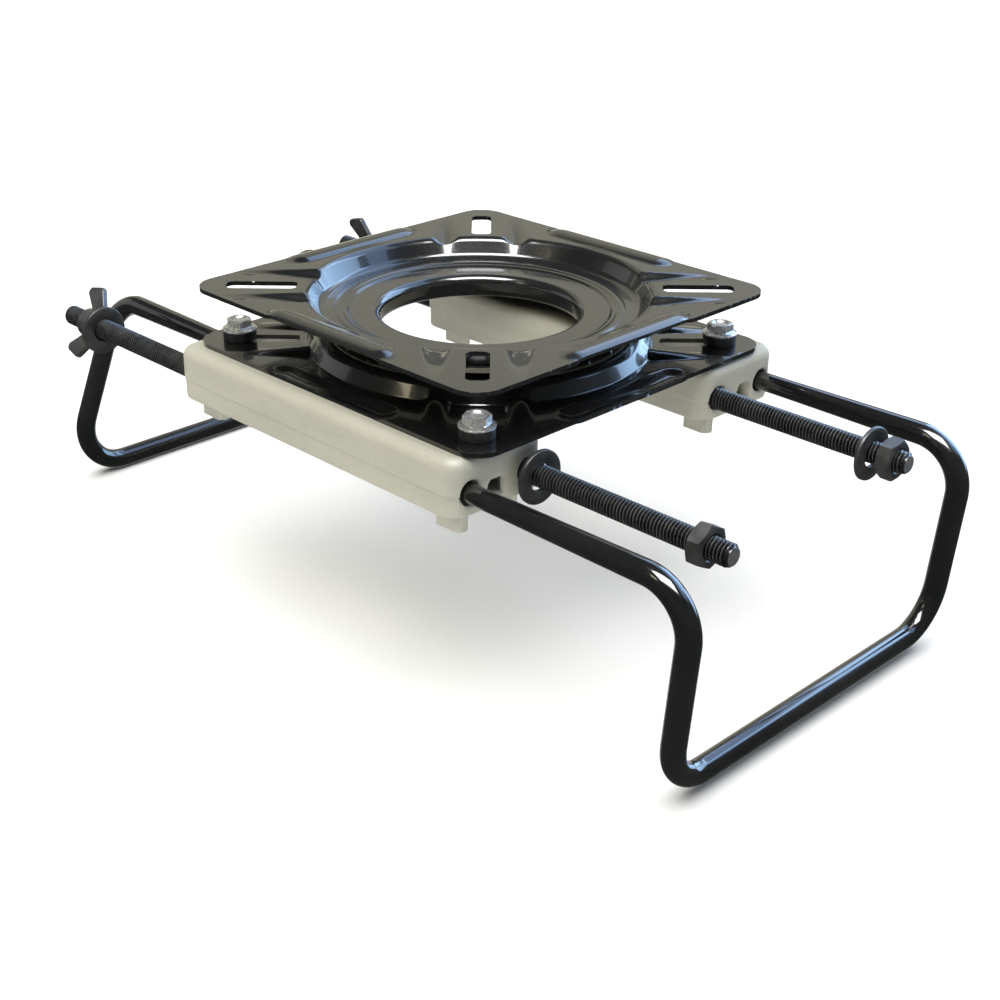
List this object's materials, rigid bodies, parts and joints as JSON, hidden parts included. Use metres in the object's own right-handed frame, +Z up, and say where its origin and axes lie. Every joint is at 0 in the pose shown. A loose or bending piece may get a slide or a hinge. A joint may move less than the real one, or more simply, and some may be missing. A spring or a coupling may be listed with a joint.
{
  "type": "boat seat clamp",
  "caption": "Clamp-on swivel seat mount: square pressed plates turning on a ball race, on grey rails with black U hooks that grip a bench.",
  "frame": {"origin": "centre of the swivel hole, halfway between the two plates", "axes": "+Z up along the swivel axis, +X along the hook rods to the front hook, +Y to the left rail"},
  "size_m": [0.4004, 0.1954, 0.1338],
  "materials": {
    "black_enamel": "glossy black enamel",
    "grey_nylon": "matt moulded nylon, warm light grey",
    "zinc": "bright zinc plate",
    "ball_steel": "polished steel",
    "cage_nylon": "natural nylon",
    "black_steel": "black oxide and wax",
    "black_rubber": "black rubber"
  },
  "bodies": {
    "base": {"lower_plate": "black_enamel", "right_rail": "grey_nylon", "left_rail": "grey_nylon", "bolt_front_right": "zinc", "bolt_rear_right": "zinc", "bolt_front_left": "zinc", "bolt_rear_left": "zinc", "spacer_front_right": "black_rubber", "spacer_rear_right": "black_rubber", "spacer_front_left": "black_rubber", "spacer_rear_left": "black_rubber", "rail_nut_front_right": "zinc", "rail_nut_rear_right": "zinc", "rail_nut_front_left": "zinc", "rail_nut_rear_left": "zinc"},
    "seat_plate": {"upper_plate": "black_enamel"},
    "ball_race": {"ball_cage": "cage_nylon", "bearing_balls": "ball_steel"},
    "front_hook": {"front_hook": "black_enamel"},
    "rear_hook": {"rear_hook": "black_enamel"},
    "wing_washer_right": {"wing_washer_right": "black_steel"},
    "wing_nut_right": {"wing_nut_right": "black_steel"},
    "front_washer_right": {"front_washer_right": "black_steel"},
    "hex_nut_right": {"hex_nut_right": "black_steel"},
    "wing_washer_left": {"wing_washer_left": "black_steel"},
    "wing_nut_left": {"wing_nut_left": "black_steel"},
    "front_washer_left": {"front_washer_left": "black_steel"},
    "hex_nut_left": {"hex_nut_left": "black_steel"}
  },
  "joints": [
    {"name": "swivel", "type": "hinge", "parent": "base", "child": "seat_plate", "pos_m": [0, 0, 0], "axis": [0, 0, 1], "continuous": true},
    {"name": "race_roll", "type": "hinge", "parent": "base", "child": "ball_race", "pos_m": [0, 0, 0], "axis": [0, 0, 1], "continuous": true},
    {"name": "front_hook_slide", "type": "slide", "parent": "base", "child": "front_hook", "axis": [1, 0, 0], "range_m": [-0.07, 0.07]},
    {"name": "rear_hook_slide", "type": "slide", "parent": "base", "child": "rear_hook", "axis": [-1, 0, 0], "range_m": [-0.07, 0.07]},
    {"name": "wing_nut_right_travel", "type": "slide", "parent": "front_hook", "child": "wing_washer_right", "axis": [-1, 0, 0], "range_m": [-0.064, 0.012]},
    {"name": "wing_nut_right_turn", "type": "hinge", "parent": "wing_washer_right", "child": "wing_nut_right", "pos_m": [-0.1676, -0.08627, -0.028], "axis": [-1, 0, 0], "range_deg": [-14513, 2721]},
    {"name": "wing_nut_left_travel", "type": "slide", "parent": "front_hook", "child": "wing_washer_left", "axis": [-1, 0, 0], "range_m": [-0.064, 0.012]},
    {"name": "wing_nut_left_turn", "type": "hinge", "parent": "wing_washer_left", "child": "wing_nut_left", "pos_m": [-0.1676, 0.08627, -0.028], "axis": [-1, 0, 0], "range_deg": [-14513, 2721]},
    {"name": "front_washer_right_slide", "type": "slide", "parent": "base", "child": "front_washer_right", "axis": [-1, 0, 0], "range_m": [-0.068, 0.004]},
    {"name": "hex_nut_right_travel", "type": "slide", "parent": "rear_hook", "child": "hex_nut_right", "axis": [1, 0, 0], "range_m": [-0.07, 0.01]},
    {"name": "hex_nut_left_travel", "type": "slide", "parent": "rear_hook", "child": "front_washer_left", "axis": [1, 0, 0], "range_m": [-0.07, 0.0025]},
    {"name": "hex_nut_left_turn", "type": "hinge", "parent": "front_washer_left", "child": "hex_nut_left", "pos_m": [0.176, 0.05577, -0.028], "axis": [1, 0, 0], "range_deg": [-15874, 567]}
  ],
  "couplings": [
    {"joint": "race_roll", "follows": "swivel", "ratio": 0.5},
    {"joint": "wing_nut_right_turn", "follows": "wing_nut_right_travel", "rad_per_m": 3957.9},
    {"joint": "wing_nut_left_turn", "follows": "wing_nut_left_travel", "rad_per_m": 3957.9},
    {"joint": "hex_nut_left_turn", "follows": "hex_nut_left_travel", "rad_per_m": 3957.9}
  ]
}
